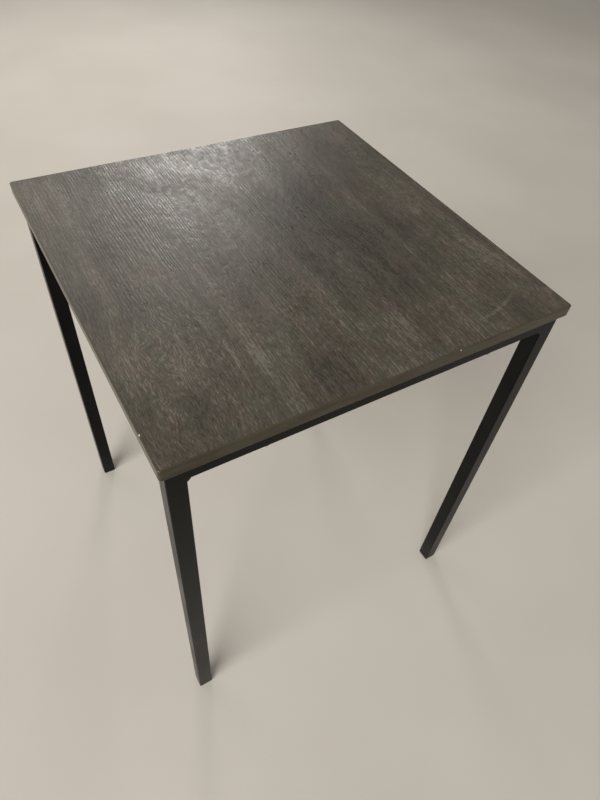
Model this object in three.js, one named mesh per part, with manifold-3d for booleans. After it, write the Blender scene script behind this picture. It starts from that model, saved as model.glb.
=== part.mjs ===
// A square bistro table. A laminated chipboard top with four edge bands is screwed down on a
// welded frame of steel tube, and each leg stands on a plastic plug.
// Millimetres, +Z up. The origin is on the floor, under the middle of the table.

import * as THREE from 'three';
import { mergeVertices } from 'three/addons/utils/BufferGeometryUtils.js';
import Module from 'manifold-3d';

const wasm = await Module();
wasm.setup();

// ---------------------------------------------------------------- driving dimensions

const TABLE_HEIGHT = 750; // floor to tabletop
const TOP_SIZE = 600; // side of the square top, edge bands included
const TOP_THICKNESS = 18; // chipboard and both laminates
const TOP_CORNER = 4; // radius of the top's four corners
const LAMINATE_THICKNESS = 0.75;
const BAND_THICKNESS = 2;
const BAND_ARRIS = 1.5; // radius along the edge bands' long edges
const OVERHANG = 7; // top beyond the frame, on each side

const TUBE_SIZE = 25; // square steel tube of the legs, and height of the rails' flatter tube
const RAIL_DEPTH = 15; // the rails' tube from its outer face to its inner face
const TUBE_WALL = 1.5;
const TUBE_CORNER = 2; // outer radius of the tubes' corners

const WELD_LEG = 6; // reach of a weld along each of the two faces that it joins
const WELD_BULGE = 0.9; // how far a weld's face bulges past the straight line
const WELD_LENGTH = 12;

const SCREW_PLACE = 170; // from the middle of a rail to each of its two screws
const SCREW_DIAMETER = 5;
const SCREW_LENGTH = 35; // under the head
const SCREW_POINT = 5; // length of the tapered point
const HEAD_DIAMETER = 10.8;
const HEAD_HEIGHT = 4;
const RECESS_WIDTH = 5; // cross recess in the screw head
const RECESS_SLOT = 1;
const RECESS_DEPTH = 2.2;
const CLEARANCE = 0.3; // between a piece and the hole or tube that it sits in
const PILOT_BEYOND = 1; // pilot hole deeper than the screw's point

const FLANGE_HEIGHT = 4; // the part of a foot plug that shows below the leg
const FLANGE_ARRIS = 1.5; // radius around the flange's lower edge
const INSERT_SIZE = 19; // the part of a foot plug inside the leg
const INSERT_HEIGHT = 18;
const INSERT_WALL = 2;
const RIB_HEIGHT = 1.2;
const RIB_PITCH = 5;
const RIB_COUNT = 3;

// ---------------------------------------------------------------- worked out from them

const UNDERSIDE = TABLE_HEIGHT - TOP_THICKNESS;
const PANEL_SIZE = TOP_SIZE - 2 * BAND_THICKNESS;
const CORE_THICKNESS = TOP_THICKNESS - 2 * LAMINATE_THICKNESS;
const CORE_BOTTOM = UNDERSIDE + LAMINATE_THICKNESS;
const CORE_TOP = TABLE_HEIGHT - LAMINATE_THICKNESS;
const FRAME_HALF = TOP_SIZE / 2 - OVERHANG;
const LEG_CENTRE = FRAME_HALF - TUBE_SIZE / 2; // from the table's middle to a leg's middle
const RAIL_CENTRE = FRAME_HALF - RAIL_DEPTH / 2; // from the table's middle to a rail's middle
const RAIL_LENGTH = 2 * (FRAME_HALF - TUBE_SIZE);
const RAIL_BOTTOM = UNDERSIDE - TUBE_SIZE;
const LEG_LENGTH = UNDERSIDE - FLANGE_HEIGHT;
const HOLE_DIAMETER = SCREW_DIAMETER + 2 * CLEARANCE;
const RIB_SIZE = TUBE_SIZE - 2 * TUBE_WALL - 2 * CLEARANCE;

// The four sides, each turned a quarter turn on from the one before, and what its rail's
// two ends are called, first the end at -X of the side before it is turned.
const SIDES = [
  { side: 'front', ends: ['left', 'right'] },
  { side: 'right', ends: ['front', 'back'] },
  { side: 'back', ends: ['right', 'left'] },
  { side: 'left', ends: ['back', 'front'] },
];

const CORNERS = [
  { corner: 'front_left', x: -1, y: -1 },
  { corner: 'front_right', x: 1, y: -1 },
  { corner: 'back_left', x: -1, y: 1 },
  { corner: 'back_right', x: 1, y: 1 },
];

// ---------------------------------------------------------------- materials

const material = (color, roughness, metalness) =>
  new THREE.MeshStandardMaterial({ color, roughness, metalness });

const woodDecor = () => material('#5a5248', 0.48, 0);
const backingSheet = () => material('#4b443c', 0.6, 0);
const bandPlastic = () => material('#473e32', 0.5, 0);
const chipboard = () => material('#b3986e', 0.9, 0);
const powderCoat = () => material('#1d1c1b', 0.45, 0.2);
const blackZinc = () => material('#232323', 0.35, 0.9);
const blackPlastic = () => material('#161615', 0.6, 0);

// ---------------------------------------------------------------- solids

// A closed three.js geometry as a solid that can be joined and cut.
function solid(geometry) {
  geometry.deleteAttribute('normal');
  geometry.deleteAttribute('uv');
  const merged = mergeVertices(geometry);
  const vertProperties = merged.attributes.position.array;
  const triVerts = new Uint32Array(merged.index.array);
  return new wasm.Manifold(new wasm.Mesh({ numProp: 3, vertProperties, triVerts }));
}

// A joined or cut solid as a three.js geometry.
function geometryOf(body) {
  const { vertProperties, triVerts } = body.getMesh();
  const geometry = new THREE.BufferGeometry();
  geometry.setAttribute('position', new THREE.BufferAttribute(vertProperties, 3));
  geometry.setIndex(new THREE.BufferAttribute(triVerts, 1));
  return geometry.toNonIndexed();
}

// A box centred on the Z axis, from the height bottom to the height top.
function box(width, depth, bottom, top) {
  const geometry = new THREE.BoxGeometry(width, depth, top - bottom);
  return geometry.translate(0, 0, (bottom + top) / 2);
}

// A round rod standing on the XY plane's point x, y, from the height bottom to the height top.
function rod(diameter, bottom, top, x, y) {
  const geometry = new THREE.CylinderGeometry(diameter / 2, diameter / 2, top - bottom, 16);
  return geometry.rotateX(Math.PI / 2).translate(x, y, (bottom + top) / 2);
}

// A rectangle with round corners, drawn into a new shape or into a given path.
function roundRectangle(width, depth, radius, outline = new THREE.Shape()) {
  const x = width / 2 - radius;
  const y = depth / 2 - radius;
  outline.absarc(x, y, radius, 0, 0.5 * Math.PI);
  outline.absarc(-x, y, radius, 0.5 * Math.PI, Math.PI);
  outline.absarc(-x, -y, radius, Math.PI, 1.5 * Math.PI);
  outline.absarc(x, -y, radius, 1.5 * Math.PI, 2 * Math.PI);
  return outline;
}

// A square slab from height 0 up, with round corners and rounded upper and lower edges.
function roundSlab(size, corner, height, arris) {
  const geometry = new THREE.ExtrudeGeometry(roundRectangle(size, size, corner), {
    depth: height - 2 * arris,
    bevelThickness: arris,
    bevelSize: arris,
    bevelOffset: -arris,
    bevelSegments: 3,
    curveSegments: 3,
  });
  return geometry.translate(0, 0, arris);
}

// A length of tube along Z, from height 0 up, open at both ends.
function tubeLength(width, depth, length) {
  const section = roundRectangle(width, depth, TUBE_CORNER);
  const boreWidth = width - 2 * TUBE_WALL;
  const boreDepth = depth - 2 * TUBE_WALL;
  const boreCorner = TUBE_CORNER - TUBE_WALL;
  section.holes.push(roundRectangle(boreWidth, boreDepth, boreCorner, new THREE.Path()));
  return new THREE.ExtrudeGeometry(section, {
    depth: length,
    bevelEnabled: false,
    curveSegments: 2,
  });
}

// ---------------------------------------------------------------- the object

const table = new THREE.Group();

function addPiece(group, name, geometry, look) {
  const mesh = new THREE.Mesh(geometry, look);
  mesh.name = name;
  group.add(mesh);
  return mesh;
}

// The screws' places, seen from above: two over each rail.
function screwPlaces() {
  const places = [];
  for (const along of [-SCREW_PLACE, SCREW_PLACE]) {
    for (const across of [-RAIL_CENTRE, RAIL_CENTRE]) {
      places.push([along, across]);
      places.push([across, along]);
    }
  }
  return places;
}

// A sheet or board with a hole for every screw, from its lower face up to the height holeTop.
function drilled(board, bottom, holeTop) {
  let body = solid(board);
  for (const [x, y] of screwPlaces()) {
    body = body.subtract(solid(rod(HOLE_DIAMETER, bottom - 1, holeTop, x, y)));
  }
  return geometryOf(body);
}

function addTop() {
  const screwTip = RAIL_BOTTOM + SCREW_LENGTH;
  const sheet = box(PANEL_SIZE, PANEL_SIZE, CORE_TOP, TABLE_HEIGHT);
  const core = box(PANEL_SIZE, PANEL_SIZE, CORE_BOTTOM, CORE_TOP);
  const backing = box(PANEL_SIZE, PANEL_SIZE, UNDERSIDE, CORE_BOTTOM);
  addPiece(table, 'top_laminate', sheet, woodDecor());
  const drilledCore = drilled(core, CORE_BOTTOM, screwTip + PILOT_BEYOND);
  addPiece(table, 'panel_core', drilledCore, chipboard());
  const drilledBacking = drilled(backing, UNDERSIDE, CORE_BOTTOM + 1);
  addPiece(table, 'underside_laminate', drilledBacking, backingSheet());
}

// The front and back bands run the whole width and cover the ends of the other two.
function addBand(group, side) {
  const runsThrough = side === 'front' || side === 'back';
  const length = runsThrough ? TOP_SIZE : PANEL_SIZE;
  const strip = box(length, BAND_THICKNESS, 0, TOP_THICKNESS);
  strip.translate(0, (BAND_THICKNESS - TOP_SIZE) / 2, 0);
  const slab = roundSlab(TOP_SIZE, TOP_CORNER, TOP_THICKNESS, BAND_ARRIS);
  const band = geometryOf(solid(slab).intersect(solid(strip)));
  addPiece(group, `edge_band_${side}`, band, bandPlastic()).position.z = UNDERSIDE;
}

// A rail lies along X, drilled right through for its two screws.
function addRail(group, side) {
  const tube = tubeLength(TUBE_SIZE, RAIL_DEPTH, RAIL_LENGTH);
  let body = solid(tube.translate(0, 0, -RAIL_LENGTH / 2).rotateY(Math.PI / 2));
  for (const x of [-SCREW_PLACE, SCREW_PLACE]) {
    body = body.subtract(solid(rod(HOLE_DIAMETER, -TUBE_SIZE, TUBE_SIZE, x, 0)));
  }
  const rail = addPiece(group, `rail_${side}`, geometryOf(body), powderCoat());
  rail.position.set(0, -RAIL_CENTRE, UNDERSIDE - TUBE_SIZE / 2);
}

// A fillet weld in the inner corner between the underside of a rail and the face of a leg.
function weldGeometry() {
  const bulge = WELD_LEG / 2 + WELD_BULGE;
  const profile = new THREE.Shape();
  profile.moveTo(0, 0);
  profile.lineTo(0, -WELD_LEG);
  profile.quadraticCurveTo(bulge, -bulge, WELD_LEG, 0);
  profile.closePath();
  const bead = new THREE.ExtrudeGeometry(profile, {
    depth: WELD_LENGTH,
    bevelEnabled: false,
    curveSegments: 4,
  });
  return bead.translate(0, 0, -WELD_LENGTH / 2).rotateX(Math.PI / 2);
}

function addWelds(group, side, ends) {
  [-1, 1].forEach((end, index) => {
    const weld = addPiece(group, `weld_${side}_${ends[index]}`, weldGeometry(), powderCoat());
    weld.position.set((end * RAIL_LENGTH) / 2, -RAIL_CENTRE, RAIL_BOTTOM);
    weld.rotation.z = index * Math.PI;
  });
}

// A screw standing on its pan head, with the head's bearing face at height 0.
function screwGeometry() {
  const radius = SCREW_DIAMETER / 2;
  const headRadius = HEAD_DIAMETER / 2;
  const profile = [
    new THREE.Vector2(0, -HEAD_HEIGHT),
    new THREE.Vector2(headRadius * 0.7, -HEAD_HEIGHT * 0.98),
    new THREE.Vector2(headRadius * 0.9, -HEAD_HEIGHT * 0.88),
    new THREE.Vector2(headRadius, -HEAD_HEIGHT * 0.65),
    new THREE.Vector2(headRadius, 0),
    new THREE.Vector2(radius, 0),
    new THREE.Vector2(radius, SCREW_LENGTH - SCREW_POINT),
    new THREE.Vector2(0, SCREW_LENGTH),
  ];
  const turned = new THREE.LatheGeometry(profile, 16).rotateX(Math.PI / 2);
  const recessTop = RECESS_DEPTH - HEAD_HEIGHT;
  const recessBottom = -HEAD_HEIGHT - 1;
  const slot = solid(box(RECESS_WIDTH, RECESS_SLOT, recessBottom, recessTop));
  const crossSlot = solid(box(RECESS_SLOT, RECESS_WIDTH, recessBottom, recessTop));
  return geometryOf(solid(turned).subtract(slot).subtract(crossSlot));
}

function addScrews(group, side, ends) {
  [-SCREW_PLACE, SCREW_PLACE].forEach((x, index) => {
    const screw = addPiece(group, `screw_${side}_${ends[index]}`, screwGeometry(), blackZinc());
    screw.position.set(x, -RAIL_CENTRE, RAIL_BOTTOM);
  });
}

// A push-in plug: a flange as wide as the tube under a hollow insert with gripping ribs.
function plugGeometry() {
  const insertTop = FLANGE_HEIGHT + INSERT_HEIGHT;
  const slab = solid(roundSlab(TUBE_SIZE, TUBE_CORNER, 2 * FLANGE_HEIGHT, FLANGE_ARRIS));
  let plug = slab.intersect(solid(box(TUBE_SIZE, TUBE_SIZE, 0, FLANGE_HEIGHT)));
  plug = plug.add(solid(box(INSERT_SIZE, INSERT_SIZE, FLANGE_HEIGHT - 1, insertTop)));
  for (let rib = 1; rib <= RIB_COUNT; rib += 1) {
    const bottom = FLANGE_HEIGHT + rib * RIB_PITCH;
    plug = plug.add(solid(box(RIB_SIZE, RIB_SIZE, bottom, bottom + RIB_HEIGHT)));
  }
  const hollow = INSERT_SIZE - 2 * INSERT_WALL;
  return geometryOf(plug.subtract(solid(box(hollow, hollow, FLANGE_HEIGHT, insertTop + 1))));
}

addTop();

SIDES.forEach(({ side, ends }, turn) => {
  const group = new THREE.Group();
  group.rotation.z = (turn * Math.PI) / 2;
  table.add(group);
  addBand(group, side);
  addRail(group, side);
  addWelds(group, side, ends);
  addScrews(group, side, ends);
});

for (const { corner, x, y } of CORNERS) {
  const group = new THREE.Group();
  group.position.set(x * LEG_CENTRE, y * LEG_CENTRE, 0);
  table.add(group);
  const tube = tubeLength(TUBE_SIZE, TUBE_SIZE, LEG_LENGTH);
  const leg = addPiece(group, `leg_${corner}`, tube, powderCoat());
  leg.position.z = FLANGE_HEIGHT;
  addPiece(group, `foot_plug_${corner}`, plugGeometry(), blackPlastic());
}

export default table;
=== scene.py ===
"""A square bistro table: a dark wood-look top with edge bands on a black frame of steel tube.

The CAD frame gives the main sizes and every piece's place. Here most pieces get their fine shape,
such as rounded arrises, weld ripples, screw threads and plug ribs, and all get their material.
Metres, +Z up, +Y from the front edge to the back edge.
"""

import math

import bpy
import numpy as np
from mathutils import Euler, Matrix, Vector


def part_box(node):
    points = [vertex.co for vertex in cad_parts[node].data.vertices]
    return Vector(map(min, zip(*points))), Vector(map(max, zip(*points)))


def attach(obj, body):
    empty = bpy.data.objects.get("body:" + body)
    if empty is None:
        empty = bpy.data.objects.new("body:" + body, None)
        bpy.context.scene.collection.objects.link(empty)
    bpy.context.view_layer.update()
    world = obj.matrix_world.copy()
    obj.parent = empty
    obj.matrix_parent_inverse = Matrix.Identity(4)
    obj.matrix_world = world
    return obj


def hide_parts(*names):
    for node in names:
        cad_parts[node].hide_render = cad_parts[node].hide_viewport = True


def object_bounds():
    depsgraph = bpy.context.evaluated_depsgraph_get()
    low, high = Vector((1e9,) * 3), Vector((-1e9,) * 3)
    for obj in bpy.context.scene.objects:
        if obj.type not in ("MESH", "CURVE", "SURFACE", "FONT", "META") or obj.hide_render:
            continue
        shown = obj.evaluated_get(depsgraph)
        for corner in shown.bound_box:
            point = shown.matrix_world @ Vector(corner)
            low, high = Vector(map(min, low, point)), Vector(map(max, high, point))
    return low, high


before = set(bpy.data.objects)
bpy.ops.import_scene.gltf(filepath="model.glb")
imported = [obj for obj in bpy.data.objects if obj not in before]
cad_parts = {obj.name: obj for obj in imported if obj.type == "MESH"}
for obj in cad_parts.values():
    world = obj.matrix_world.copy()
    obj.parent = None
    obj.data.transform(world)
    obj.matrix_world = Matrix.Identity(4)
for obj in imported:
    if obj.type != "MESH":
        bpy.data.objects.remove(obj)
CAD_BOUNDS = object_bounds()

MM = 0.001

# ---------------------------------------------------------------- sizes read from the frame

TABLE_HIGH = CAD_BOUNDS[1]
HALF_TOP = TABLE_HIGH.x
TOP_Z = TABLE_HIGH.z
LEG_LOW, LEG_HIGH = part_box("leg_front_left")
BAND_LOW, BAND_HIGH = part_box("edge_band_left")
RAIL_LOW, RAIL_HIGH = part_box("rail_front")
SCREW_LOW, SCREW_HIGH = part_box("screw_front_left")
WELD_LOW, WELD_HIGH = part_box("weld_front_left")

UNDERSIDE = BAND_LOW.z
BAND = BAND_HIGH.x - BAND_LOW.x
TUBE = LEG_HIGH.x - LEG_LOW.x
RAIL_DEPTH = RAIL_HIGH.y - RAIL_LOW.y
RAIL_BOTTOM = RAIL_LOW.z
RAIL_MIDDLE_Y = (RAIL_LOW.y + RAIL_HIGH.y) / 2
RAIL_MIDDLE_Z = (RAIL_LOW.z + RAIL_HIGH.z) / 2
SCREW_X = (SCREW_LOW.x + SCREW_HIGH.x) / 2
WELD_REACH = WELD_HIGH.x - WELD_LOW.x  # a weld's size along its rail
WELD_HALF = (WELD_HIGH.y - WELD_LOW.y) / 2  # half its length across the rail in the CAD
FLANGE_TOP = LEG_LOW.z

# ---------------------------------------------------------------- fine sizes
# These repeat the CAD's sizes where it has them, except PLUG_WALL, which is 2 mm there. The sizes
# of the weld bead are the scene's own.

TOP_CORNER = 4 * MM
BAND_ARRIS = 1.5 * MM
TUBE_WALL = 1.5 * MM
TUBE_CORNER = 2 * MM
CUT_EDGE = 0.25 * MM  # rounding of the tube's cut ends under the powder coat
FILLED_CORNER = 0.4 * MM  # leg corner where weld metal fills it beside a rail
FILL_RUN = 3 * MM  # height over which the filled corner fades into the tube's own
SCREW_HOLE = 5.6 * MM
SCREW_CORE = 1.7 * MM  # radius at the root of the thread
SCREW_CREST = 2.5 * MM
THREAD_PITCH = 2.0 * MM
THREAD_RUN_IN = 4 * MM  # length under the head over which the thread rises
THREAD_STEEPNESS = 3.2  # how narrow the thread's crest is: 2 would leave no root between crests
HEAD_RADIUS = 5.4 * MM
HEAD_HEIGHT = 4 * MM
HEAD_ROUND_X = 1.5 * MM  # the pan head's rounding, as far in from its side as this
HEAD_ROUND_Z = 1.2 * MM  # and as far up from its face as this
HEAD_CROWN = 0.15 * MM  # how much its face bulges
RECESS_WIDTH = 5 * MM
RECESS_SLOT = 1 * MM
RECESS_DEPTH = 2.2 * MM
SCREW_POINT = 5 * MM
FLANGE_ARRIS = 1.5 * MM
PLUG_WALL = 1.6 * MM
PLUG_RIB_HALF = 10.7 * MM
PLUG_CORE_HALF = 9.5 * MM
RIB_PITCH = 5 * MM
WELD_PITCH = 1.9 * MM  # from one crescent of a weld bead to the next
WELD_RIPPLE = 0.28 * MM  # how far each crescent stands up
WELD_BULGE = 0.5 * MM  # of its face past a straight line, before the ripple
WELD_ROOT = 0.3 * MM  # how far the bead's hidden back reaches into the tubes
WELD_SETBACK = 0.15 * MM  # how far the bead stays inside the rail's outer face

ARC_STEPS = 6  # steps of a quarter turn in a rounding
ROUND_SIDES = 24  # sides of the screws, and of the rods that drill their holes
SHARP_DEGREES = 38  # faces that meet at more than this stay sharp, except on the welds

SIDES = ("front", "right", "back", "left")
ENDS = {
    "front": ("left", "right"),
    "right": ("front", "back"),
    "back": ("right", "left"),
    "left": ("back", "front"),
}
CORNERS = {
    "front_left": (-1, -1),
    "front_right": (1, -1),
    "back_left": (-1, 1),
    "back_right": (1, 1),
}

# Small chips knocked out of the top's arris, each with its side, its place along the side from
# the side's middle, and its radius.
CHIPS = (
    ("left", 247 * MM, 1.9 * MM),
    ("front", 98 * MM, 1.5 * MM),
)

# The printed wood's figures, in the table's frame: the centre's X and Y, the half width and half
# length, how far the figure pushes the streaks aside, and how strongly rings show round it.
FIGURES = (
    (-0.235, -0.13, 0.06, 0.085, 0.9, 0.015),
    (-0.245, -0.25, 0.055, 0.06, 0.8, 0.015),
    (0.07, -0.125, 0.05, 0.16, 0.6, 0.08),
)
# Its paler and darker streaks: low and high X, low and high Y, and the change of tone.
STREAKS = (
    (-0.18, -0.162, -0.22, -0.02, 0.09),
    (-0.155, -0.125, -0.25, -0.04, 0.085),
    (-0.112, -0.068, -0.3, -0.22, -0.09),
    (0.163, 0.168, -0.25, 0.1, 0.12),
    (0.235, 0.32, -0.3, 0.05, 0.08),
    (0.01, 0.13, -0.19, 0.14, -0.21),
    (0.125, 0.2, -0.15, 0.11, -0.16),
    (-0.3, -0.12, -0.3, -0.12, 0.06),
)
RIB_SPACING = 4.7 * MM  # mean spacing of the embossed ribs on the top
WANDER = 30 * MM  # how far the streaks wander sideways

# A pale arc where something was dragged across the front right of the top.
SCUFF_CENTRE = (0.153, -0.092, TOP_Z)
SCUFF_RADIUS = 174 * MM
SCUFF_WIDTH = 4.5 * MM
SCUFF_CLEAREST = (0.198, -0.26, TOP_Z)
SCUFF_FADE = 75 * MM  # distance from its clearest point at which it is gone


# ---------------------------------------------------------------- meshes

def new_object(name, vertices, faces, sharp_degrees=SHARP_DEGREES):
    """A mesh object with smooth faces, sharp only where they meet at more than the given angle."""
    mesh = bpy.data.meshes.new(name)
    mesh.from_pydata([tuple(v) for v in vertices], [], faces)
    mesh.validate()
    mesh.update()
    mesh.shade_smooth()
    mesh.set_sharp_from_angle(angle=math.radians(sharp_degrees))
    obj = bpy.data.objects.new(name, mesh)
    bpy.context.scene.collection.objects.link(obj)
    return obj


def flat_faces_stay_flat(obj):
    """Weights each corner's normal by face area, so that a rounding doesn't shade the flat beside it."""
    modifier = obj.modifiers.new("weighted_normals", "WEIGHTED_NORMAL")
    modifier.keep_sharp = True


def rounded(half_x, half_y, radii, z):
    """The points of a rectangle with round corners, at height z. The radii start at +X+Y."""
    points = []
    for quarter, r in enumerate(radii):
        middle = math.radians(45 + 90 * quarter)
        centre_x = math.copysign(half_x - r, math.cos(middle))
        centre_y = math.copysign(half_y - r, math.sin(middle))
        for step in range(ARC_STEPS + 1):
            angle = math.radians(90 * (quarter + step / ARC_STEPS))
            points.append((centre_x + r * math.cos(angle), centre_y + r * math.sin(angle), z))
    return points


def round_square(half, radius, z):
    """The points of a square with four equal round corners, at height z."""
    return rounded(half, half, (radius,) * 4, z)


def circle(radius, z):
    """The points of a circle about the Z axis, at height z."""
    angles = [2 * math.pi * side / ROUND_SIDES for side in range(ROUND_SIDES)]
    return [(radius * math.cos(angle), radius * math.sin(angle), z) for angle in angles]


def loft(rings, closed):
    """Vertices and faces of a skin over rings of points. A closed loft joins its last ring to its first."""
    count = len(rings[0])
    vertices = [point for ring in rings for point in ring]
    faces = []
    last = len(rings) if closed else len(rings) - 1
    for index in range(last):
        low = index * count
        high = (index + 1) % len(rings) * count
        for step in range(count):
            after = (step + 1) % count
            faces.append((low + step, low + after, high + after, high + step))
    if not closed:
        faces.append(tuple(reversed(range(count))))
        top = (len(rings) - 1) * count
        faces.append(tuple(range(top, top + count)))
    return vertices, faces


def moved(vertices, turn, place=(0, 0, 0)):
    """Vertices turned about Z by an angle in radians and then moved."""
    cos, sin = math.cos(turn), math.sin(turn)
    out = []
    for x, y, z in vertices:
        out.append((x * cos - y * sin + place[0], x * sin + y * cos + place[1], z + place[2]))
    return out


def move_mesh(obj, turn, place=(0, 0, 0)):
    """Turns an object's finished mesh about Z and then moves it."""
    points = moved([vertex.co for vertex in obj.data.vertices], turn, place)
    for vertex, point in zip(obj.data.vertices, points):
        vertex.co = point


def turn_to(side):
    """The angle that turns a piece made along the front to the given side."""
    return SIDES.index(side) * math.pi / 2


def cut(obj, cutters):
    """Cuts closed meshes out of an object for good, and deletes them."""
    for cutter in cutters:
        modifier = obj.modifiers.new("cut", "BOOLEAN")
        modifier.operation = "DIFFERENCE"
        modifier.solver = "EXACT"
        modifier.object = cutter
    bpy.context.view_layer.update()
    evaluated = obj.evaluated_get(bpy.context.evaluated_depsgraph_get())
    shaped = bpy.data.meshes.new_from_object(evaluated)
    obj.modifiers.clear()
    obj.data = shaped
    obj.data.shade_smooth()
    obj.data.set_sharp_from_angle(angle=math.radians(SHARP_DEGREES))
    for cutter in cutters:
        bpy.data.objects.remove(cutter)


def rod(radius, length, place):
    """A closed rod along Z, centred on a place."""
    vertices, faces = loft([circle(radius, -length / 2), circle(radius, length / 2)], closed=False)
    return new_object("cutter", moved(vertices, 0, place), faces)


def fit(obj, node, material):
    """Puts a finished piece in a CAD node's place."""
    obj.name = f"{node}_piece"
    obj.data.materials.clear()
    obj.data.materials.append(material)
    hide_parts(node)
    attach(obj, "root")


# ---------------------------------------------------------------- pieces of the top

def band_profile():
    """The edge band's outer outline as (inset from the outer face, height above the underside)."""
    height = TOP_Z - UNDERSIDE
    points = []
    for step in range(ARC_STEPS + 1):
        angle = math.radians(90 * step / ARC_STEPS)
        inset = BAND_ARRIS * (1 - math.sin(angle))
        points.append((inset, BAND_ARRIS * (1 - math.cos(angle))))
    points.append((0, 2 * BAND_ARRIS))
    points.append((0, height / 2))
    return points + [(inset, height - z) for inset, z in reversed(points[:-1])]


def band_stations(runs_through, chip_places):
    """Stations along a front band: a straight run between two parts of the top's round corners.

    A station is a function that gives the outer face's point at an inset.
    """
    reach = HALF_TOP - TOP_CORNER
    covered = math.acos((TOP_CORNER - BAND) / TOP_CORNER)
    sweep = covered if runs_through else math.pi / 2 - covered

    def on_corner(side, angle):
        def point(inset):
            radius = TOP_CORNER - inset
            return side * (reach + radius * math.sin(angle)), -reach - radius * math.cos(angle)
        return point

    def on_straight(x):
        return lambda inset: (x, inset - HALF_TOP)

    # Even stations, and closer ones across each chip.
    along = set(np.linspace(-reach, reach, 61)[1:-1].round(6))
    for place, radius in chip_places:
        along.update(np.linspace(place - 1.5 * radius, place + 1.5 * radius, 15).round(6))
    stations = [on_corner(-1, sweep * (1 - step / ARC_STEPS)) for step in range(ARC_STEPS + 1)]
    stations += [on_straight(x) for x in sorted(along)]
    stations += [on_corner(1, sweep * step / ARC_STEPS) for step in range(ARC_STEPS + 1)]
    return stations


def edge_band(side, material):
    """An edge band with rounded arrises that follows the top's round corners."""
    core_half = HALF_TOP - BAND
    chips = [(place, radius) for chip_side, place, radius in CHIPS if chip_side == side]
    rings = []
    for station in band_stations(side in ("front", "back"), chips):
        ring = []
        for inset, height in band_profile():
            x, y = station(inset)
            ring.append((x, y, UNDERSIDE + height))
        for height in (TOP_Z, UNDERSIDE):
            x, y = station(BAND_ARRIS)
            ring.append((max(-core_half, min(core_half, x)), -core_half, height))
        rings.append(ring)
    vertices, faces = loft(rings, closed=False)
    vertices = chipped(vertices, chips)
    band = new_object("band", moved(vertices, turn_to(side)), faces)
    flat_faces_stay_flat(band)
    fit(band, f"edge_band_{side}", material)


def chip_centre(place):
    """A chip's centre, just inside the arris of a band that lies along the front."""
    inside = 0.3 * BAND_ARRIS
    return place, -HALF_TOP + inside, TOP_Z - inside


def chipped(vertices, chips):
    """Presses small chips into the upper arris of a band that lies along the front."""
    out = []
    for x, y, z in vertices:
        for place, radius in chips:
            away = math.dist((x, y, z), chip_centre(place))
            if away < radius:
                depth = 0.35 * radius * math.cos(math.pi / 2 * away / radius)
                y += depth
                z -= depth
        out.append((x, y, z))
    return out


# ---------------------------------------------------------------- pieces of the frame

def tube_rings(half_x, half_y, levels):
    """Rings for a tube, up its outside and down its bore.

    The levels are (height, radii of the outer corners), and the first and last are the cut ends.
    """
    low, high = levels[0][0], levels[-1][0]
    inner_x, inner_y = half_x - TUBE_WALL, half_y - TUBE_WALL
    bore_radii = (TUBE_CORNER - TUBE_WALL,) * 4
    rings = [rounded(half_x - CUT_EDGE, half_y - CUT_EDGE, levels[0][1], low)]
    rings.append(rounded(half_x, half_y, levels[0][1], low + CUT_EDGE))
    rings += [rounded(half_x, half_y, radii, z) for z, radii in levels[1:-1]]
    rings.append(rounded(half_x, half_y, levels[-1][1], high - CUT_EDGE))
    rings.append(rounded(half_x - CUT_EDGE, half_y - CUT_EDGE, levels[-1][1], high))
    rings.append(rounded(inner_x, inner_y, bore_radii, high))
    rings.append(rounded(inner_x, inner_y, bore_radii, low))
    return rings


def leg(corner, material):
    """A leg, with weld metal filling the two corners that its rails finish flush with."""
    x_side, y_side = CORNERS[corner]
    own = (TUBE_CORNER,) * 4
    even, odd = FILLED_CORNER, TUBE_CORNER
    if x_side == y_side:
        even, odd = odd, even
    filled = (even, odd, even, odd)
    levels = [(LEG_LOW.z, own), (RAIL_BOTTOM - FILL_RUN, own), (RAIL_BOTTOM, filled), (LEG_HIGH.z, filled)]
    vertices, faces = loft(tube_rings(TUBE / 2, TUBE / 2, levels), closed=True)
    low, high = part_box(f"leg_{corner}")
    middle = (low + high) / 2
    piece = new_object("leg", moved(vertices, 0, (middle.x, middle.y, 0)), faces)
    flat_faces_stay_flat(piece)
    fit(piece, f"leg_{corner}", material)


def rail(side, material):
    """A rail along the front, drilled for its screws, then turned to its side."""
    half = (RAIL_HIGH.x - RAIL_LOW.x) / 2
    own = (TUBE_CORNER,) * 4
    vertices, faces = loft(tube_rings(TUBE / 2, RAIL_DEPTH / 2, [(-half, own), (half, own)]), closed=True)
    lying = [(z, y + RAIL_MIDDLE_Y, -x + RAIL_MIDDLE_Z) for x, y, z in vertices]
    piece = new_object("rail", lying, faces)
    holes = [(x, RAIL_MIDDLE_Y, RAIL_MIDDLE_Z) for x in (SCREW_X, -SCREW_X)]
    cut(piece, [rod(SCREW_HOLE / 2, 2 * TUBE, hole) for hole in holes])
    move_mesh(piece, turn_to(side))
    flat_faces_stay_flat(piece)
    fit(piece, f"rail_{side}", material)


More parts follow.
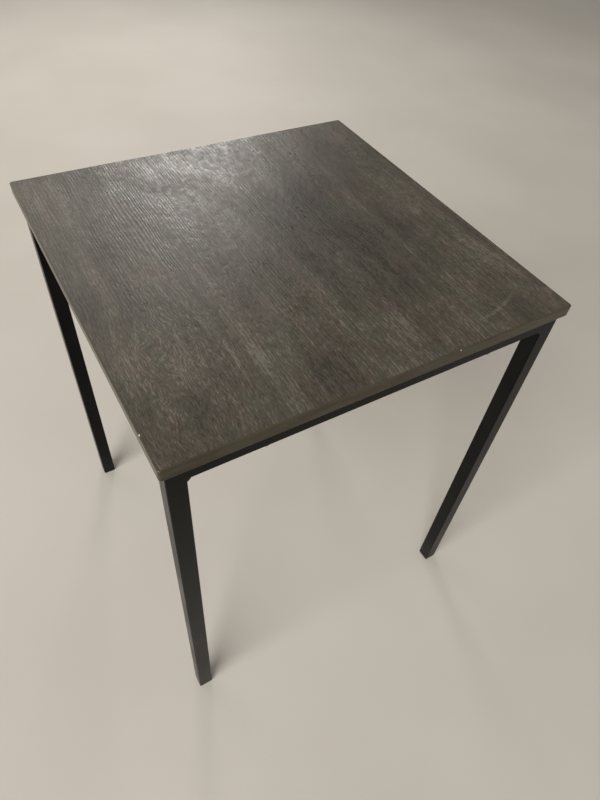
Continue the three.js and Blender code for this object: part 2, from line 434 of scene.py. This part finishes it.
def weld(side, end, index, material):
    """A fillet weld under a rail's end: overlapping crescents, flush outside and tapered inside."""
    low_y, high_y = WELD_SETBACK - RAIL_DEPTH / 2, WELD_HALF
    if index == 1:
        low_y, high_y = -high_y, -low_y
    rows = 72
    rings = []
    for row in range(rows + 1):
        share = row / rows
        inward = share if index == 0 else 1 - share
        y = low_y + share * (high_y - low_y)
        rings.append(weld_section(y, share * (high_y - low_y), inward))
    vertices, faces = loft(rings, closed=False)
    end_x = RAIL_LOW.x if index == 0 else RAIL_HIGH.x
    placed = moved(vertices, index * math.pi, (end_x, RAIL_MIDDLE_Y, RAIL_BOTTOM))
    bead = new_object("weld", moved(placed, turn_to(side)), faces, sharp_degrees=60)
    fit(bead, f"weld_{side}_{end}", material)


def weld_section(y, run, inward):
    """A bead's outline at y, after a run of its length, at a share of the way in from outside."""
    # It starts a little small outside, is full size from a fifth of the way in, and tapers off
    # over its inner two fifths.
    taper_from, small_end, outer_size = 0.6, 0.12, 0.7
    taper = math.sqrt(max(0, 1 - (max(0, inward - taper_from) / (1 - taper_from)) ** 2))
    size = WELD_REACH * (small_end + (1 - small_end) * taper) * min(1, outer_size + 1.5 * inward)
    # How far the tubes' rounded edges have curved away from the bead here.
    in_corner = max(0, TUBE_CORNER - (RAIL_DEPTH / 2 - abs(y)))
    gap = TUBE_CORNER - math.sqrt(TUBE_CORNER ** 2 - in_corner ** 2)
    leg_gap = gap / 2 if inward < 0.5 else 0
    columns = 12
    crescent_curve = 0.35  # how far the crescents curve, as a share of the pitch
    ring = []
    for column in range(columns + 1):
        t = column / columns
        arch = math.sin(math.pi * t)
        phase = (run / WELD_PITCH + crescent_curve * arch) % 1
        bulge = (WELD_BULGE * taper + WELD_RIPPLE * (1 - phase) * taper) * arch
        x = size * t + bulge * math.sqrt(0.5) - leg_gap * (1 - t)
        z = -size * (1 - t) - bulge * math.sqrt(0.5) + gap * t
        ring.append((x, y, z))
    ring.append((WELD_ROOT, y, WELD_ROOT + gap))
    ring.append((-WELD_ROOT - leg_gap, y, -WELD_ROOT))
    return ring


# ---------------------------------------------------------------- screws and plugs

def head_outline():
    """A pan head's outline, from the middle of its face to its bearing face: (radius, height)."""
    flat = HEAD_RADIUS - HEAD_ROUND_X
    crown_steps = 5
    bevel = 0.15 * MM  # at the edge of the bearing face
    outline = []
    for step in range(1, crown_steps + 1):
        share = step / crown_steps
        outline.append((flat * share, -HEAD_HEIGHT + HEAD_CROWN * share ** 2))
    for step in range(1, ARC_STEPS + 1):
        angle = math.radians(90 * step / ARC_STEPS)
        fall = (HEAD_ROUND_Z - HEAD_CROWN) * (1 - math.cos(angle))
        outline.append((flat + HEAD_ROUND_X * math.sin(angle), -HEAD_HEIGHT + HEAD_CROWN + fall))
    return outline + [(HEAD_RADIUS, -bevel), (HEAD_RADIUS - bevel, 0), (SCREW_CREST, 0)]


def thread_ring(height, length):
    """A ring of a screw's shank at a height under its head, with the thread's crest turning round it."""
    to_point = min(1, (length - height) / SCREW_POINT)
    run_in = min(1, height / THREAD_RUN_IN)
    ring = []
    for side in range(ROUND_SIDES):
        angle = 2 * math.pi * side / ROUND_SIDES
        turn = (height / THREAD_PITCH - angle / (2 * math.pi)) % 1
        crest = max(0, 1 - abs(turn - 0.5) * THREAD_STEEPNESS)
        radius = (SCREW_CORE + (SCREW_CREST - SCREW_CORE) * crest * run_in) * max(0.03, to_point)
        ring.append((radius * math.cos(angle), radius * math.sin(angle), height))
    return ring


def screw(side, end, index, material):
    """A pan-head wood screw with a cross recess and a rolled thread that runs out at its point."""
    node = f"screw_{side}_{end}"
    low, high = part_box(node)
    length = high.z - low.z - HEAD_HEIGHT
    rows = 110
    rings = [circle(radius, height) for radius, height in head_outline()]
    rings += [thread_ring(length * row / rows, length) for row in range(1, rows + 1)]
    vertices, faces = loft(rings, closed=False)
    piece = new_object("screw", vertices, faces)
    cut(piece, cross_recess())
    middle = (low + high) / 2
    driven = 0.9 * SIDES.index(side) + 0.5 * index  # where each screw stopped turning
    move_mesh(piece, driven, (middle.x, middle.y, RAIL_BOTTOM))
    fit(piece, node, material)


def cross_recess():
    """Two tapered blades that cut the cross recess into a screw head."""
    # Each level is a height and the blades' size there, as a share of their size at the face.
    levels = ((-HEAD_HEIGHT - 1 * MM, 1.2), (-HEAD_HEIGHT, 1), (RECESS_DEPTH - HEAD_HEIGHT, 0.55))
    cutters = []
    for long_axis in (0, 1):
        rings = []
        for z, shrink in levels:
            half_long = RECESS_WIDTH / 2 * shrink
            half_wide = RECESS_SLOT / 2 * shrink
            x, y = (half_long, half_wide) if long_axis == 0 else (half_wide, half_long)
            rings.append([(x, y, z), (-x, y, z), (-x, -y, z), (x, -y, z)])
        vertices, faces = loft(rings, closed=False)
        cutters.append(new_object("cutter", vertices, faces))
    return cutters


def foot_plug(corner, material):
    """A push-in plug: a flange with a rounded foot, and a hollow insert with soft ribs."""
    node = f"foot_plug_{corner}"
    low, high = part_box(node)
    half = TUBE / 2
    rings = []
    for step in range(ARC_STEPS + 1):
        angle = math.radians(90 * step / ARC_STEPS)
        inset = FLANGE_ARRIS * (1 - math.sin(angle))
        z = FLANGE_ARRIS * (1 - math.cos(angle))
        rings.append(round_square(half - inset, TUBE_CORNER, z))
    bevel = 0.3 * MM  # around the flange's upper edge
    rings.append(round_square(half, TUBE_CORNER, FLANGE_TOP - bevel))
    rings.append(round_square(half - bevel, TUBE_CORNER, FLANGE_TOP))
    corner_radius = 1 * MM
    rings.append(round_square(PLUG_CORE_HALF, corner_radius, FLANGE_TOP))
    # Each rib rises over 0.5 mm, has a rim 0.3 mm thick, and falls over 0.4 mm.
    for rib in range(1, 4):
        z = FLANGE_TOP + rib * RIB_PITCH
        rings.append(round_square(PLUG_CORE_HALF, corner_radius, z))
        rings.append(round_square(PLUG_RIB_HALF, corner_radius, z + 0.5 * MM))
        rings.append(round_square(PLUG_RIB_HALF, corner_radius, z + 0.8 * MM))
        rings.append(round_square(PLUG_CORE_HALF, corner_radius, z + 1.2 * MM))
    lead_in = 0.8 * MM  # bevel around the insert's upper end
    rings.append(round_square(PLUG_CORE_HALF, corner_radius, high.z - lead_in))
    rings.append(round_square(PLUG_CORE_HALF - lead_in, 0.8 * MM, high.z))
    rings.append(round_square(PLUG_CORE_HALF - PLUG_WALL, 0.5 * MM, high.z))
    rings.append(round_square(PLUG_CORE_HALF - PLUG_WALL, 0.5 * MM, FLANGE_TOP))
    vertices, faces = loft(rings, closed=False)
    middle = (low + high) / 2
    plug = new_object("plug", moved(vertices, 0, (middle.x, middle.y, 0)), faces)
    flat_faces_stay_flat(plug)
    fit(plug, node, material)


# ---------------------------------------------------------------- materials

class Look:
    """A material's node tree, with a short call for each kind of node used here."""

    def __init__(self, name):
        self.material = bpy.data.materials.new(name)
        self.material.use_nodes = True
        self.nodes = self.material.node_tree.nodes
        self.links = self.material.node_tree.links
        self.shader = self.nodes["Principled BSDF"]
        self.place = self.nodes.new("ShaderNodeTexCoord").outputs["Object"]

    def feed(self, value, socket):
        """Links an output to a socket, or sets a plain value on it."""
        if isinstance(value, bpy.types.NodeSocket):
            self.links.new(value, socket)
        else:
            socket.default_value = value

    def vector(self, operation, a, b):
        node = self.nodes.new("ShaderNodeVectorMath")
        node.operation = operation
        self.feed(a, node.inputs[0])
        self.feed(b, node.inputs["Scale" if operation == "SCALE" else 1])
        return node.outputs["Value" if operation == "DISTANCE" else "Vector"]

    def stretched(self, x, y, z, source=None):
        """Coordinates in which one unit is 1/x, 1/y and 1/z metres long."""
        return self.vector("MULTIPLY", source or self.place, (x, y, z))

    def noise(self, vector, detail, roughness=0.5, distortion=0.0):
        node = self.nodes.new("ShaderNodeTexNoise")
        self.feed(vector, node.inputs["Vector"])
        node.inputs["Scale"].default_value = 1
        node.inputs["Detail"].default_value = detail
        node.inputs["Roughness"].default_value = roughness
        node.inputs["Distortion"].default_value = distortion
        return node.outputs["Fac"]

    def cells(self, vector):
        node = self.nodes.new("ShaderNodeTexVoronoi")
        self.feed(vector, node.inputs["Vector"])
        node.inputs["Scale"].default_value = 1
        return node

    def math(self, operation, a, b=0.0, c=0.0):
        node = self.nodes.new("ShaderNodeMath")
        node.operation = operation
        for value, socket in zip((a, b, c), node.inputs):
            self.feed(value, socket)
        return node.outputs[0]

    def spread(self, value, low, high, to_low=0.0, to_high=1.0):
        """A value mapped smoothly from low..high to to_low..to_high, held at the ends."""
        node = self.nodes.new("ShaderNodeMapRange")
        node.interpolation_type = "SMOOTHSTEP"
        for number, socket in zip((value, low, high, to_low, to_high), node.inputs):
            self.feed(number, socket)
        return node.outputs[0]

    def blend(self, factor, a, b, kind="MIX"):
        node = self.nodes.new("ShaderNodeMix")
        node.data_type = "RGBA"
        node.blend_type = kind
        # A Mix node has separate sockets for each type of data, and these are the colours'.
        self.feed(factor, node.inputs[0])
        self.feed(a, node.inputs[6])
        self.feed(b, node.inputs[7])
        return node.outputs[2]

    def relief(self, height, depth):
        """A bump that rises by depth, in metres, as the height goes from 0 to 1."""
        node = self.nodes.new("ShaderNodeBump")
        node.inputs["Strength"].default_value = 1
        node.inputs["Distance"].default_value = depth
        self.feed(height, node.inputs["Height"])
        return node.outputs[0]

    def axes(self):
        node = self.nodes.new("ShaderNodeSeparateXYZ")
        self.feed(self.place, node.inputs[0])
        return node.outputs

    def finish(self, color, roughness, normal):
        for value, name in ((color, "Base Color"), (roughness, "Roughness"), (normal, "Normal")):
            self.feed(value, self.shader.inputs[name])
        return self.material


def rgb(red, green, blue):
    return (red, green, blue, 1.0)


def near(look, centre, radius):
    """1 at a point, fading to 0 at a radius from it."""
    return look.spread(look.vector("DISTANCE", look.place, centre), 0, radius, 1, 0)


def bowed_streaks(look, x, wander):
    """X as the streaks follow it, wandering and bowing out round the figures.

    With it comes a list of (bell, rings, ring_share): each figure's strength at a point, the
    point's distance from its centre as a share of its half sizes, and how strongly its rings show.
    """
    shift = look.math("MULTIPLY_ADD", wander, WANDER, x)
    _, y, _ = look.axes()
    bells = []
    for centre_x, centre_y, half_x, half_y, push, ring_share in FIGURES:
        from_x = look.math("SUBTRACT", x, centre_x)
        from_y = look.math("SUBTRACT", y, centre_y)
        u = look.math("POWER", look.math("DIVIDE", from_x, half_x), 2)
        v = look.math("POWER", look.math("DIVIDE", from_y, half_y), 2)
        square = look.math("ADD", u, v)
        bell = look.math("EXPONENT", look.math("MULTIPLY", square, -1))
        shift = look.math("MULTIPLY_ADD", look.math("MULTIPLY", from_x, bell), -push, shift)
        bells.append((bell, look.math("POWER", square, 0.5), ring_share))
    return shift, bells


def curled_fibres(look, figured):
    """Coordinates for fine fibres that curl, most of all where the wood is figured."""
    curl = look.nodes.new("ShaderNodeTexNoise")
    look.feed(look.stretched(100, 75, 1), curl.inputs["Vector"])
    curl.inputs["Scale"].default_value = 1
    curl.inputs["Detail"].default_value = 2
    amount = look.math("MULTIPLY_ADD", figured, 3.8 * MM, 1.8 * MM)
    push = look.vector("SCALE", curl.outputs["Color"], amount)
    return look.stretched(700, 120, 1, look.vector("ADD", push, look.place))


def embossed_ribs(look, x, figured):
    """Long ribs, unevenly spaced, broken up in places and curling in the figures."""
    bend = look.math("SUBTRACT", look.noise(look.stretched(30, 22, 1), detail=2), 0.5)
    amount = look.math("MULTIPLY_ADD", figured, 55 * MM, 4 * MM)
    bent = look.math("MULTIPLY_ADD", bend, amount, x)
    drift = look.noise(look.stretched(40, 2.5, 1), detail=2)
    phase = look.math("MULTIPLY_ADD", bent, 2 * math.pi / RIB_SPACING, look.math("MULTIPLY", drift, 20))
    ribs = look.math("MULTIPLY_ADD", look.math("SINE", phase), 0.5, 0.5)
    patches = look.spread(look.noise(look.stretched(24, 11, 1), detail=3), 0.35, 0.6, 0.3, 1)
    return look.math("MULTIPLY", ribs, patches)


def with_rings(look, tone, bells, wander):
    """The tone with faint growth rings round each figure."""
    for bell, rings, ring_share in bells:
        phase = look.math("MULTIPLY_ADD", wander, 9, look.math("MULTIPLY", rings, 26))
        ring = look.math("MULTIPLY", look.math("SINE", phase), bell)
        tone = look.math("MULTIPLY_ADD", ring, ring_share, tone)
    return tone


def with_streaks(look, tone, shift, grain):
    """The tone with the paler and darker streaks, soft along their sides and at their ends."""
    _, y, _ = look.axes()
    side = 12 * MM  # width of its soft sides
    front_end, back_end = 30 * MM, 50 * MM  # half the length of its soft ends
    uneven = look.math("ADD", grain, 0.05)
    for low_x, high_x, low_y, high_y, change in STREAKS:
        # The wandering shifts X by about 15 mm on average, which the middles of these sides allow for.
        left, right = low_x + 10 * MM, high_x + 8 * MM
        across = look.math("MULTIPLY", look.spread(shift, left, left + side),
                           look.spread(shift, right, right + side, 1, 0))
        along = look.math("MULTIPLY", look.spread(y, low_y - front_end, low_y + front_end),
                          look.spread(y, high_y - back_end, high_y + back_end, 1, 0))
        amount = look.math("MULTIPLY", look.math("MULTIPLY", across, along), uneven)
        tone = look.math("MULTIPLY_ADD", amount, 2 * change, tone)
    return tone


def scuff_arc(look):
    """The scuff's strength: a thin broken arc, faded out away from its clearest point."""
    from_centre = look.vector("DISTANCE", look.place, SCUFF_CENTRE)
    off = look.math("ABSOLUTE", look.math("SUBTRACT", from_centre, SCUFF_RADIUS))
    line = look.spread(off, 0, SCUFF_WIDTH, 1, 0)
    broken = look.spread(look.noise(look.stretched(400, 200, 1), detail=3), 0.42, 0.6, 0.12, 1)
    clear = near(look, SCUFF_CLEAREST, SCUFF_FADE)
    return look.math("MULTIPLY", look.math("MULTIPLY", line, broken), clear)


def wood_decor():
    """Dark grey-brown printed wood: streaks along Y, arched figures, and an embossed grain."""
    look = Look("wood_decor")
    x, y, _ = look.axes()
    wander = look.noise(look.stretched(6, 2.2, 1), detail=3)
    shift, bells = bowed_streaks(look, x, wander)
    # The fibres and ribs curl most in the first two figures, at the front left.
    figured = look.math("ADD", bells[0][0], bells[1][0])
    flow = look.nodes.new("ShaderNodeCombineXYZ")
    look.feed(shift, flow.inputs[0])
    look.feed(y, flow.inputs[1])
    flow = flow.outputs[0]

    broad = look.noise(look.stretched(20, 1.6, 1, flow), detail=2)
    grain = look.noise(look.stretched(55, 3.5, 1, flow), detail=4, roughness=0.65)
    fine = look.noise(look.stretched(340, 13, 1, flow), detail=3, roughness=0.65)
    fibres = look.noise(curled_fibres(look, figured), detail=2, roughness=0.65)
    blotches = look.noise(look.stretched(14, 8, 1), detail=6, roughness=0.72)
    ribs = embossed_ribs(look, x, figured)
    ribs_share = look.math("MULTIPLY_ADD", figured, 0.16, 0.12)
    tone = 0.5
    layers = ((broad, 0.5), (grain, 0.6), (fine, 0.85), (fibres, 1.25), (blotches, 1.1), (ribs, ribs_share))
    for layer, share in layers:
        tone = look.math("MULTIPLY_ADD", look.math("SUBTRACT", layer, 0.5), share, tone)
    tone = with_rings(look, tone, bells, wander)
    tone = with_streaks(look, tone, shift, grain)

    dark, middle, pale = rgb(0.021, 0.0165, 0.011), rgb(0.0585, 0.0495, 0.035), rgb(0.138, 0.119, 0.092)
    color = look.blend(look.spread(tone, -0.04, 0.52), dark,
                       look.blend(look.spread(tone, 0.48, 0.95), middle, pale))
    hue = look.noise(look.stretched(26, 17, 1), detail=3, roughness=0.5)
    tint = look.blend(look.spread(hue, 0.35, 0.65), rgb(1.06, 0.975, 0.99), rgb(0.96, 1.01, 0.95))
    color = look.blend(1.0, color, tint, "MULTIPLY")
    scuff = scuff_arc(look)
    color = look.blend(look.math("MULTIPLY", scuff, 0.33), color, rgb(0.3, 0.28, 0.24))

    # The glue line against the edge bands.
    from_middle = look.math("MAXIMUM", look.math("ABSOLUTE", x), look.math("ABSOLUTE", y))
    laminate_edge = HALF_TOP - BAND
    rim = look.spread(from_middle, laminate_edge - 0.6 * MM, laminate_edge - 0.2 * MM, 0, 0.6)
    color = look.blend(rim, color, rgb(0.012, 0.01, 0.008))

    # Height: ribs, fine grain and slow waves.
    waves = look.noise(look.stretched(120, 75, 1), detail=4, roughness=0.6)
    height = look.math("MULTIPLY_ADD", fibres, 1.3, look.math("MULTIPLY", ribs, 0.8))
    height = look.math("MULTIPLY_ADD", fine, 0.7, height)
    height = look.math("MULTIPLY_ADD", waves, 4.2, height)

    # Gloss: smeared by wiping, shinier on the ribs, duller on the fibres, the waves' tops and
    # the scuff.
    smears = look.noise(look.stretched(20, 13, 1), detail=5, roughness=0.65, distortion=0.3)
    roughness = look.spread(smears, 0.3, 0.7, 0.27, 0.41)
    roughness = look.math("MULTIPLY_ADD", look.spread(fibres, 0.35, 0.65), 0.08, roughness)
    roughness = look.math("MULTIPLY_ADD", ribs, -0.1, roughness)
    roughness = look.math("MULTIPLY_ADD", look.spread(waves, 0.35, 0.65), 0.11, roughness)
    roughness = look.math("MULTIPLY_ADD", scuff, 0.1, roughness)
    look.shader.inputs["IOR"].default_value = 1.5
    return look.finish(color, roughness, look.relief(height, 0.14 * MM))


def band_plastic(name, along_x):
    """The edge band: brown plastic printed with grain along its length, paler where it is chipped, and with
    a painted highlight along its arrises.
    """
    look = Look(name)
    stretch = (5, 300, 300) if along_x else (300, 5, 300)
    fine_stretch = (40, 1200, 1200) if along_x else (1200, 40, 1200)
    streaks = look.noise(look.stretched(*stretch), detail=4, roughness=0.6)
    fine = look.noise(look.stretched(*fine_stretch), detail=3, roughness=0.6)
    slow = look.noise(look.stretched(22, 22, 70), detail=4, roughness=0.6)
    tone = look.math("MULTIPLY_ADD", look.math("SUBTRACT", fine, 0.5), 0.5, streaks)
    color = look.blend(look.spread(tone, 0.3, 0.7), rgb(0.017, 0.011, 0.004), rgb(0.047, 0.034, 0.0155))
    color = look.blend(look.spread(slow, 0.45, 0.62, 0, 0.6), color, rgb(0.042, 0.037, 0.016))
    color = look.blend(look.spread(slow, 0.5, 0.38, 0, 0.45), color, rgb(0.018, 0.012, 0.005))
    look.shader.inputs["Specular IOR Level"].default_value = 0.4

    # Painted highlight: the upper and lower arrises are painted a little paler, standing in for the light
    # they catch.
    _, _, z = look.axes()
    top_arris_highlight = look.spread(z, TOP_Z - 1.6 * MM, TOP_Z - 0.4 * MM)
    low_arris_highlight = look.spread(z, UNDERSIDE + 1.6 * MM, UNDERSIDE + 0.4 * MM)
    arris = look.math("MAXIMUM", top_arris_highlight, low_arris_highlight)
    # The painted arris highlight, blended into the band's colour.
    color = look.blend(look.math("MULTIPLY", arris, 0.4), color, rgb(0.1, 0.085, 0.065))

    for side, place, radius in CHIPS:
        centre = moved([chip_centre(place)], turn_to(side))[0]
        bare = look.spread(near(look, centre, 1.3 * radius), 0.3, 0.6)
        color = look.blend(bare, color, rgb(0.5, 0.43, 0.34))
    roughness = look.spread(tone, 0.3, 0.7, 0.32, 0.25)
    return look.finish(color, roughness, look.relief(tone, 0.02 * MM))


def powder_coat():
    """Black powder coat: orange peel, a few pale specks, and faint dust low on the legs."""
    look = Look("powder_coat")
    _, _, z = look.axes()
    peel = look.noise(look.stretched(900, 900, 900), detail=2, roughness=0.4)
    grit = look.noise(look.stretched(3200, 3200, 3200), detail=2)
    cloud = look.noise(look.stretched(30, 30, 12), detail=3)
    dark, pale = rgb(0.002, 0.002, 0.0019), rgb(0.0036, 0.0035, 0.0031)
    color = look.blend(look.spread(cloud, 0.35, 0.65), dark, pale)
    low = look.spread(z, 0.0, 0.12, 1, 0)
    dust = look.noise(look.stretched(160, 160, 60), detail=4, roughness=0.7)
    dust = look.math("MULTIPLY", low, look.spread(dust, 0.35, 0.8, 0.02, 0.16))
    color = look.blend(dust, color, rgb(0.16, 0.15, 0.13))
    specks = look.noise(look.stretched(520, 520, 520), detail=1)
    color = look.blend(look.spread(specks, 0.76, 0.8, 0, 0.25), color, rgb(0.1, 0.095, 0.085))
    roughness = look.spread(cloud, 0.3, 0.7, 0.26, 0.34)
    roughness = look.math("MULTIPLY_ADD", dust, 0.4, roughness)
    height = look.math("MULTIPLY_ADD", grit, 0.25, peel)
    look.shader.inputs["Specular IOR Level"].default_value = 0.1
    return look.finish(color, roughness, look.relief(height, 0.03 * MM))


def chipboard():
    """Raw chipboard: pressed chips of several browns, with fibres and an uneven face."""
    look = Look("chipboard")
    chips = look.cells(look.stretched(260, 420, 700))
    fibres = look.noise(look.stretched(900, 250, 900), detail=4, roughness=0.7)
    tint = look.nodes.new("ShaderNodeSeparateColor")
    look.feed(chips.outputs["Color"], tint.inputs[0])
    color = look.blend(tint.outputs[0], rgb(0.28, 0.18, 0.085), rgb(0.55, 0.4, 0.22))
    color = look.blend(look.spread(fibres, 0.35, 0.7, 0, 0.6), color, rgb(0.36, 0.25, 0.13))
    height = look.math("MULTIPLY_ADD", fibres, 0.6, chips.outputs["Distance"])
    return look.finish(color, look.spread(fibres, 0.3, 0.7, 0.8, 0.95), look.relief(height, 0.25 * MM))


def backing_sheet():
    """The balancing sheet under the top: plain matt brown laminate with a faint paper texture."""
    look = Look("backing_sheet")
    paper = look.noise(look.stretched(420, 420, 420), detail=4, roughness=0.6)
    cloud = look.noise(look.stretched(11, 7, 7), detail=3)
    color = look.blend(look.spread(paper, 0.3, 0.7), rgb(0.062, 0.051, 0.039), rgb(0.078, 0.065, 0.051))
    color = look.blend(look.spread(cloud, 0.4, 0.7, 0, 0.35), color, rgb(0.055, 0.046, 0.036))
    return look.finish(color, look.spread(cloud, 0.3, 0.7, 0.55, 0.68), look.relief(paper, 0.03 * MM))


def black_screw():
    """Black zinc, mottled, with paler specks where it is worn."""
    look = Look("black_screw")
    look.shader.inputs["Metallic"].default_value = 0.9
    mottle = look.noise(look.stretched(900, 900, 900), detail=3)
    color = look.blend(look.spread(mottle, 0.3, 0.7), rgb(0.018, 0.018, 0.019), rgb(0.045, 0.044, 0.043))
    worn = look.spread(look.noise(look.stretched(2600, 2600, 2600), detail=3), 0.62, 0.72, 0, 0.6)
    color = look.blend(worn, color, rgb(0.16, 0.155, 0.15))
    return look.finish(color, look.spread(mottle, 0.3, 0.7, 0.3, 0.45), look.relief(mottle, 0.02 * MM))


def foot_plastic():
    """Matt black moulded plastic, scuffed and dusty towards the floor."""
    look = Look("foot_plastic")
    _, _, z = look.axes()
    grain = look.noise(look.stretched(1800, 1800, 1800), detail=3)
    scuffs = look.noise(look.stretched(420, 420, 900), detail=4, roughness=0.7)
    color = look.blend(look.spread(grain, 0.3, 0.7), rgb(0.009, 0.009, 0.0075), rgb(0.015, 0.015, 0.012))
    low = look.spread(z, 0, 3 * MM, 1, 0.25)
    dirty = look.math("MULTIPLY", low, look.spread(scuffs, 0.4, 0.7, 0, 0.5))
    color = look.blend(dirty, color, rgb(0.15, 0.14, 0.11))
    roughness = look.math("MULTIPLY_ADD", dirty, 0.25, look.spread(grain, 0.3, 0.7, 0.5, 0.62))
    return look.finish(color, roughness, look.relief(grain, 0.04 * MM))


def floor_finish():
    """A plain pale floor with the slightest unevenness."""
    look = Look("floor")
    cloud = look.noise(look.stretched(1.5, 1.5, 1), detail=4)
    fine = look.noise(look.stretched(120, 120, 1), detail=4, roughness=0.6)
    color = look.blend(look.spread(cloud, 0.3, 0.7), rgb(0.5, 0.465, 0.41), rgb(0.54, 0.505, 0.45))
    return look.finish(color, 0.75, look.relief(fine, 0.15 * MM))


# ---------------------------------------------------------------- camera, floor and light

def make_camera():
    """About 1.25 m up, in front of the table's front left corner, looking down at its top."""
    data = bpy.data.cameras.new("camera")
    data.lens = 26.98
    data.shift_x = -0.007
    data.shift_y = 0.0062
    camera = bpy.data.objects.new("camera", data)
    camera.location = (-0.3796, -0.6439, 1.2548)
    camera.rotation_euler = Euler([math.radians(angle) for angle in (40.72, -4.593, -30.646)])
    bpy.context.scene.collection.objects.link(camera)
    bpy.context.scene.camera = camera


def make_floor():
    """A floor 24 m across, which fills the picture behind the table."""
    half = 12.0
    corners = [(-half, -half, 0), (half, -half, 0), (half, half, 0), (-half, half, 0)]
    floor = new_object("floor", corners, [(0, 1, 2, 3)])
    floor.data.materials.append(floor_finish())


def soft_box(name, place, target, size, watts, color):
    """A rectangular area light at a place, facing a target."""
    data = bpy.data.lights.new(name, "AREA")
    data.shape = "RECTANGLE"
    data.size, data.size_y = size
    data.energy = watts
    data.color = color
    light = bpy.data.objects.new(name, data)
    light.location = place
    direction = Vector(target) - Vector(place)
    light.rotation_euler = direction.to_track_quat("-Z", "Y").to_euler()
    bpy.context.scene.collection.objects.link(light)


def make_light():
    """A large window light from the front left, a pale wall and a window behind, and a dim room."""
    world = bpy.data.worlds.new("room")
    bpy.context.scene.world = world
    world.use_nodes = True
    background = world.node_tree.nodes["Background"]
    background.inputs["Color"].default_value = (1.0, 0.98, 0.95, 1)
    background.inputs["Strength"].default_value = 0.25
    middle = (0, 0, 0.6)
    soft_box("key", (-6.3, -3.1, 5.3), middle, (6.1, 5.0), 880, (1.0, 0.98, 0.95))
    soft_box("back_wall", (-0.95, 3.3, 2.6), middle, (2.6, 2.6), 26, (1.0, 0.945, 0.865))
    soft_box("back_window", (1.22, 3.45, 2.05), middle, (0.9, 1.5), 33, (1.0, 0.975, 0.95))


# ---------------------------------------------------------------- the table

def build_table():
    coat = powder_coat()
    screw_finish = black_screw()
    plug_finish = foot_plastic()
    bands = {True: band_plastic("edge_band_x", True), False: band_plastic("edge_band_y", False)}
    for side in SIDES:
        edge_band(side, bands[side in ("front", "back")])
        rail(side, coat)
        for index, end in enumerate(ENDS[side]):
            weld(side, end, index, coat)
            screw(side, end, index, screw_finish)
    for corner in CORNERS:
        leg(corner, coat)
        foot_plug(corner, plug_finish)
    dress("top_laminate", wood_decor())
    dress("panel_core", chipboard())
    dress("underside_laminate", backing_sheet())


def dress(node, material):
    """Gives a CAD node that stays as it is its finished material."""
    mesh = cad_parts[node].data
    mesh.materials.clear()
    mesh.materials.append(material)


bpy.context.scene.view_settings.view_transform = "Standard"
make_camera()
make_floor()
make_light()
build_table()
